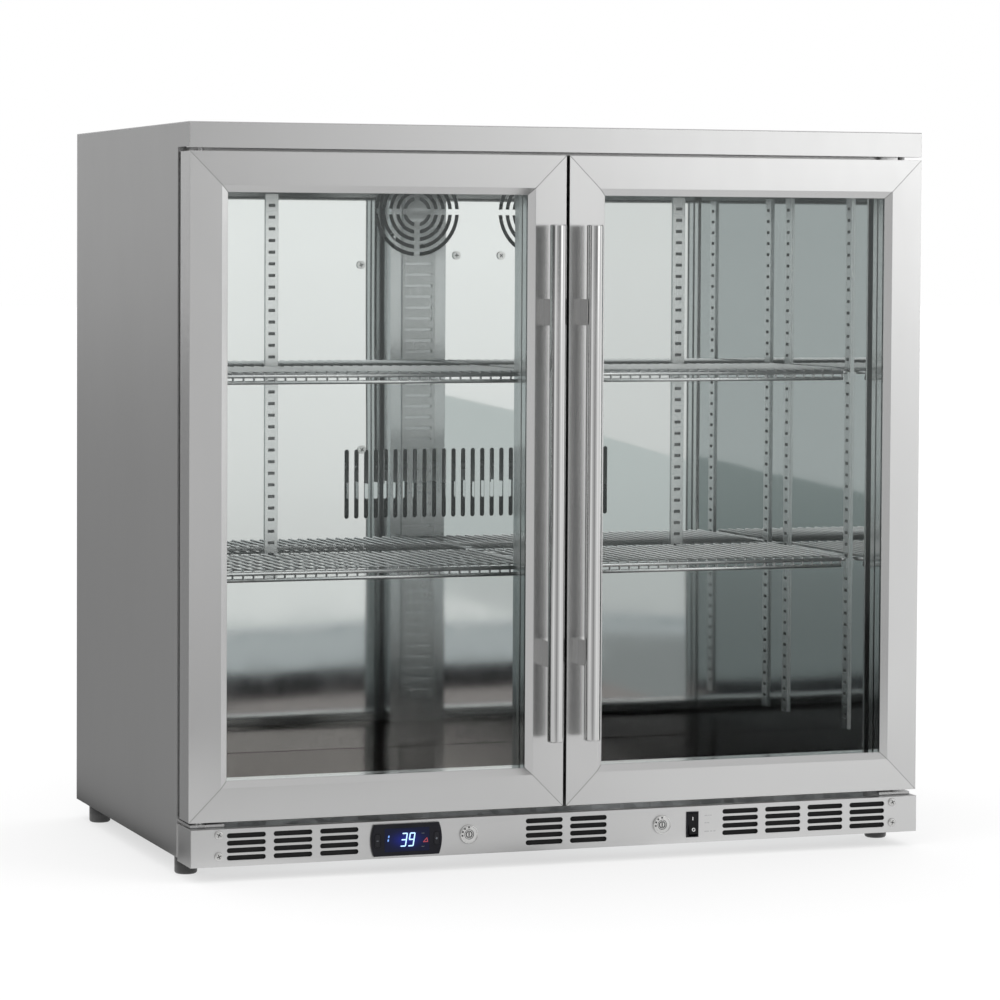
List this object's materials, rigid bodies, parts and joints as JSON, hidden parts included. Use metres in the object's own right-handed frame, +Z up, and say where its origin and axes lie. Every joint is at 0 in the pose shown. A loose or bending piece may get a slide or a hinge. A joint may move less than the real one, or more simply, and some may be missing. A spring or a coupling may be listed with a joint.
{
  "type": "undercounter refrigerator",
  "caption": "Stainless undercounter refrigerator with hinged glass doors, tubular handles, wire shelves, fan evaporator, kick panel with controller and locks, rear machine bay",
  "frame": {"origin": "on the floor, at the middle of the overall box, handles included", "axes": "+X to the right as seen from the front, -Y towards the person at the doors, +Z up"},
  "size_m": [0.9, 0.5575, 0.85],
  "materials": {
    "stainless_body": "brushed stainless sheet, fine grain",
    "stainless_door": "bright brushed stainless frame profiles with mitred corners",
    "stainless_handle": "polished brushed tube",
    "galvanised": "zinc-coated sheet",
    "liner_bright": "bright rolled aluminium, mirror-like",
    "cover_bright": "bright rolled aluminium with punched slots",
    "pilaster_steel": "stamped strip",
    "shelf_wire": "chromed wire",
    "clear_glass": "clear float glass",
    "spacer_metal": "bright folded aluminium spacer bar",
    "door_trim": "bright anodised aluminium profile",
    "gasket_rubber": "soft magnetic seal",
    "foam": "rigid foam core, hidden",
    "black_plastic": "moulded black bezel",
    "display_lens": "tinted display lens",
    "rocker_plastic": "moulded rocker",
    "key_rubber": "soft key",
    "lock_chrome": "chromed lock",
    "screw_steel": "pan-head screws",
    "hinge_steel": "zinc-plated plate",
    "foot_rubber": "black foot",
    "fin_aluminium": "plain fins",
    "fan_plastic": "moulded fan",
    "compressor_paint": "black enamel"
  },
  "bodies": {
    "root": {"left_side_panel": "stainless_body", "right_side_panel": "stainless_body", "top_panel": "stainless_body", "rear_panel": "galvanised", "rear_grille": "galvanised", "base_pan": "galvanised", "front_frame": "stainless_door", "center_mullion": "stainless_door", "insulation_foam": "foam", "left_liner_wall": "liner_bright", "right_liner_wall": "liner_bright", "liner_ceiling": "liner_bright", "liner_floor": "liner_bright", "liner_back_wall": "liner_bright", "evaporator_cover": "cover_bright", "evaporator_fan_frames": "fan_plastic", "evaporator_coil": "fin_aluminium", "shelf_pilasters": "pilaster_steel", "shelf_clips": "pilaster_steel", "left_upper_shelf": "shelf_wire", "right_upper_shelf": "shelf_wire", "left_lower_shelf": "shelf_wire", "right_lower_shelf": "shelf_wire", "kick_panel": "stainless_body", "controller_housing": "black_plastic", "controller_display": "display_lens", "lock_bodies": "lock_chrome", "switch_housing": "black_plastic", "hinge_brackets": "hinge_steel", "compressor": "compressor_paint", "condenser_coil": "fin_aluminium", "condenser_fan_motor": "galvanised", "power_inlet": "black_plastic", "panel_screws": "screw_steel"},
    "left_door": {"left_door_frame": "stainless_door", "left_door_outer_glass": "clear_glass", "left_door_inner_glass": "clear_glass", "left_door_glass_spacer": "spacer_metal", "left_door_trim": "door_trim", "left_door_gasket": "gasket_rubber", "left_door_handle": "stainless_handle"},
    "right_door": {"right_door_frame": "stainless_door", "right_door_outer_glass": "clear_glass", "right_door_inner_glass": "clear_glass", "right_door_glass_spacer": "spacer_metal", "right_door_trim": "door_trim", "right_door_gasket": "gasket_rubber", "right_door_handle": "stainless_handle"},
    "left_lock": {"left_lock_cam": "lock_chrome"},
    "right_lock": {"right_lock_cam": "lock_chrome"},
    "rocker": {"power_rocker": "rocker_plastic"},
    "left_key": {"left_controller_key": "key_rubber"},
    "right_key": {"right_controller_key": "key_rubber"},
    "left_evaporator_wheel": {"left_evaporator_fan": "fan_plastic"},
    "right_evaporator_wheel": {"right_evaporator_fan": "fan_plastic"},
    "condenser_wheel": {"condenser_fan": "fan_plastic"},
    "front_left_leveller": {"front_left_foot": "foot_rubber"},
    "front_right_leveller": {"front_right_foot": "foot_rubber"},
    "rear_left_leveller": {"rear_left_foot": "foot_rubber"},
    "rear_right_leveller": {"rear_right_foot": "foot_rubber"}
  },
  "joints": [
    {"name": "left_door_hinge", "type": "hinge", "parent": "root", "child": "left_door", "pos_m": [-0.433, -0.22125, 0.442], "axis": [0, 0, -1], "range_deg": [0, 110]},
    {"name": "right_door_hinge", "type": "hinge", "parent": "root", "child": "right_door", "pos_m": [0.433, -0.22125, 0.442], "axis": [0, 0, 1], "range_deg": [0, 110]},
    {"name": "left_lock_turn", "type": "hinge", "parent": "root", "child": "left_lock", "pos_m": [-0.1195, -0.23925, 0.041], "axis": [0, -1, 0], "range_deg": [0, 90]},
    {"name": "right_lock_turn", "type": "hinge", "parent": "root", "child": "right_lock", "pos_m": [0.1195, -0.23925, 0.041], "axis": [0, 1, 0], "range_deg": [0, 90]},
    {"name": "power_switch", "type": "hinge", "parent": "root", "child": "rocker", "pos_m": [0.1583, -0.24525, 0.0394], "axis": [1, 0, 0], "range_deg": [0, 20]},
    {"name": "left_key_press", "type": "slide", "parent": "root", "child": "left_key", "axis": [0, 1, 0], "range_m": [0, 0.0008], "stiffness_N_per_m": 900, "springref_m": -0.0008},
    {"name": "right_key_press", "type": "slide", "parent": "root", "child": "right_key", "axis": [0, 1, 0], "range_m": [0, 0.0008], "stiffness_N_per_m": 900, "springref_m": -0.0008},
    {"name": "left_evaporator_fan_spin", "type": "hinge", "parent": "root", "child": "left_evaporator_wheel", "pos_m": [-0.08, 0.07475, 0.755], "axis": [0, -1, 0], "continuous": true},
    {"name": "right_evaporator_fan_spin", "type": "hinge", "parent": "root", "child": "right_evaporator_wheel", "pos_m": [0.08, 0.07475, 0.755], "axis": [0, -1, 0], "continuous": true},
    {"name": "condenser_fan_spin", "type": "hinge", "parent": "root", "child": "condenser_wheel", "pos_m": [-0.19, 0.17075, 0.158], "axis": [0, -1, 0], "continuous": true},
    {"name": "front_left_foot_screw", "type": "slide", "parent": "root", "child": "front_left_leveller", "axis": [0, 0, -1], "range_m": [0, 0.015]},
    {"name": "front_right_foot_screw", "type": "slide", "parent": "root", "child": "front_right_leveller", "axis": [0, 0, -1], "range_m": [0, 0.015]},
    {"name": "rear_left_foot_screw", "type": "slide", "parent": "root", "child": "rear_left_leveller", "axis": [0, 0, -1], "range_m": [0, 0.015]},
    {"name": "rear_right_foot_screw", "type": "slide", "parent": "root", "child": "rear_right_leveller", "axis": [0, 0, -1], "range_m": [0, 0.015]}
  ]
}
